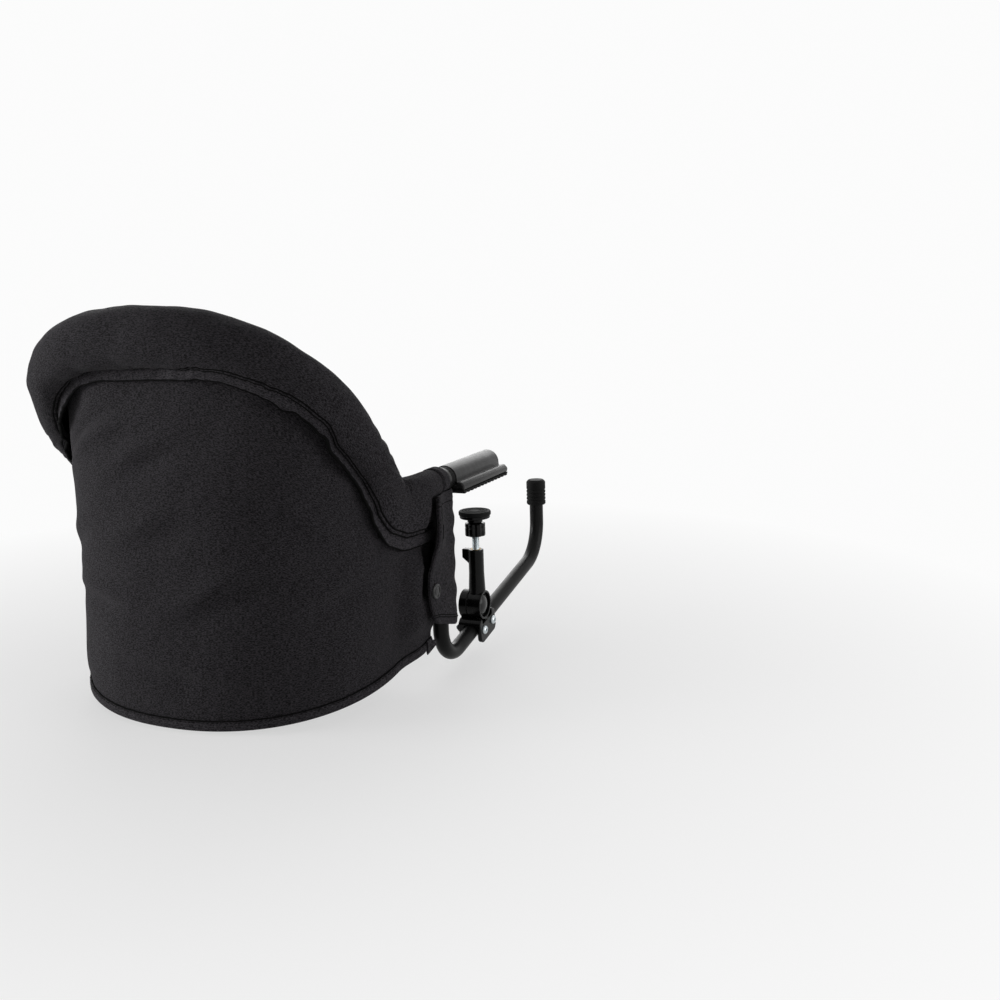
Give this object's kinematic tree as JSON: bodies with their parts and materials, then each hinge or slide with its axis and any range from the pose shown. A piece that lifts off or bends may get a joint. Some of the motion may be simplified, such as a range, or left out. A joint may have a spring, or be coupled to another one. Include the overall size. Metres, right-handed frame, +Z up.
{
  "type": "hook-on table chair",
  "caption": "Hook-on table chair: a fabric tub on a bent tube rim, with grips that lie on the table top, turning hooks below it and folding screw clamps.",
  "frame": {"origin": "midway between the two uprights, on the plane of the table top that the grip soles lie on", "axes": "+X towards the table, +Y to the sitter's left, +Z up"},
  "size_m": [0.5111, 0.398, 0.3777],
  "materials": {
    "powder_coat": "matt black powder coat with a fine texture",
    "grip_plastic": "satin dark grey moulded plastic",
    "gloss_plastic": "semi-gloss black moulded nylon",
    "grey_plastic": "satin grey moulded plastic",
    "rubber": "matt black rubber",
    "zinc": "bright zinc plate",
    "brass": "turned brass",
    "charcoal_cloth": "charcoal heathered woven polyester",
    "board_wood": "plain plywood",
    "webbing": "black woven webbing"
  },
  "bodies": {
    "frame": {"rim_tube": "powder_coat", "rim_pad": "charcoal_cloth", "tub_wall": "charcoal_cloth", "tub_floor": "charcoal_cloth", "seat_board": "board_wood", "seat_cushion": "charcoal_cloth", "buckle_body": "gloss_plastic", "crotch_strap": "webbing", "right_waist_strap": "webbing", "right_grip": "grip_plastic", "right_grip_sole": "rubber", "right_grip_collar": "rubber", "right_arm_joint": "powder_coat", "right_joint_screw": "zinc", "right_flap": "charcoal_cloth", "right_flap_snap": "gloss_plastic", "left_waist_strap": "webbing", "left_grip": "grip_plastic", "left_grip_sole": "rubber", "left_grip_collar": "rubber", "left_arm_joint": "powder_coat", "left_joint_screw": "zinc", "left_flap": "charcoal_cloth", "left_flap_snap": "gloss_plastic"},
    "buckle_press": {"buckle_button": "grey_plastic"},
    "right_hook": {"right_hook_tube": "powder_coat", "right_hook_foot": "rubber", "right_clamp_saddle": "gloss_plastic", "right_saddle_screw_front": "zinc", "right_saddle_screw_rear": "zinc", "right_saddle_nut_front": "zinc", "right_saddle_nut_rear": "zinc", "right_hub_pivot": "zinc"},
    "right_tower": {"right_clamp_tower": "gloss_plastic", "right_thread_insert": "brass", "right_button_spring": "zinc"},
    "right_button": {"right_release_button": "grey_plastic"},
    "right_pad": {"right_pad_cup": "gloss_plastic", "right_pad_rubber": "rubber"},
    "right_screw": {"right_spindle": "zinc", "right_clamp_knob": "gloss_plastic"},
    "left_hook": {"left_hook_tube": "powder_coat", "left_hook_foot": "rubber", "left_clamp_saddle": "gloss_plastic", "left_saddle_screw_front": "zinc", "left_saddle_screw_rear": "zinc", "left_saddle_nut_front": "zinc", "left_saddle_nut_rear": "zinc", "left_hub_pivot": "zinc"},
    "left_tower": {"left_clamp_tower": "gloss_plastic", "left_thread_insert": "brass", "left_button_spring": "zinc"},
    "left_button": {"left_release_button": "grey_plastic"},
    "left_pad": {"left_pad_cup": "gloss_plastic", "left_pad_rubber": "rubber"},
    "left_screw": {"left_spindle": "zinc", "left_clamp_knob": "gloss_plastic"}
  },
  "joints": [
    {"name": "buckle_button_press", "type": "slide", "parent": "frame", "child": "buckle_press", "axis": [0.1676, 0, -0.9859], "range_m": [0, 0.002], "stiffness_N_per_m": 400},
    {"name": "right_hook_turn", "type": "hinge", "parent": "frame", "child": "right_hook", "pos_m": [0, -0.176, -0.02], "axis": [0, 0, -1], "range_deg": [0, 165]},
    {"name": "right_tower_fold", "type": "hinge", "parent": "right_hook", "child": "right_tower", "pos_m": [0.084, -0.176, -0.13288], "axis": [0, 1, 0], "range_deg": [0, 70]},
    {"name": "right_button_press", "type": "slide", "parent": "right_tower", "child": "right_button", "axis": [0, 1, 0], "range_m": [0, 0.003], "stiffness_N_per_m": 500, "deforming": ["right_button_spring"]},
    {"name": "right_pad_lift", "type": "slide", "parent": "right_tower", "child": "right_pad", "axis": [0, 0, 1], "range_m": [-0.011, 0.012]},
    {"name": "right_screw_turn", "type": "hinge", "parent": "right_pad", "child": "right_screw", "pos_m": [0.084, -0.1794, -0.06], "axis": [0, 0, 1], "range_deg": [-3168.5, 3456.5]},
    {"name": "left_hook_turn", "type": "hinge", "parent": "frame", "child": "left_hook", "pos_m": [0, 0.176, -0.02], "axis": [0, 0, 1], "range_deg": [0, 165]},
    {"name": "left_tower_fold", "type": "hinge", "parent": "left_hook", "child": "left_tower", "pos_m": [0.084, 0.176, -0.13288], "axis": [0, 1, 0], "range_deg": [0, 70]},
    {"name": "left_button_press", "type": "slide", "parent": "left_tower", "child": "left_button", "axis": [0, -1, 0], "range_m": [0, 0.003], "stiffness_N_per_m": 500, "deforming": ["left_button_spring"]},
    {"name": "left_pad_lift", "type": "slide", "parent": "left_tower", "child": "left_pad", "axis": [0, 0, 1], "range_m": [-0.011, 0.012]},
    {"name": "left_screw_turn", "type": "hinge", "parent": "left_pad", "child": "left_screw", "pos_m": [0.084, 0.1794, -0.06], "axis": [0, 0, 1], "range_deg": [-3168.5, 3456.5]}
  ],
  "couplings": [
    {"joint": "right_screw_turn", "follows": "right_pad_lift", "rad_per_m": 5026.5},
    {"joint": "left_screw_turn", "follows": "left_pad_lift", "rad_per_m": 5026.5}
  ]
}
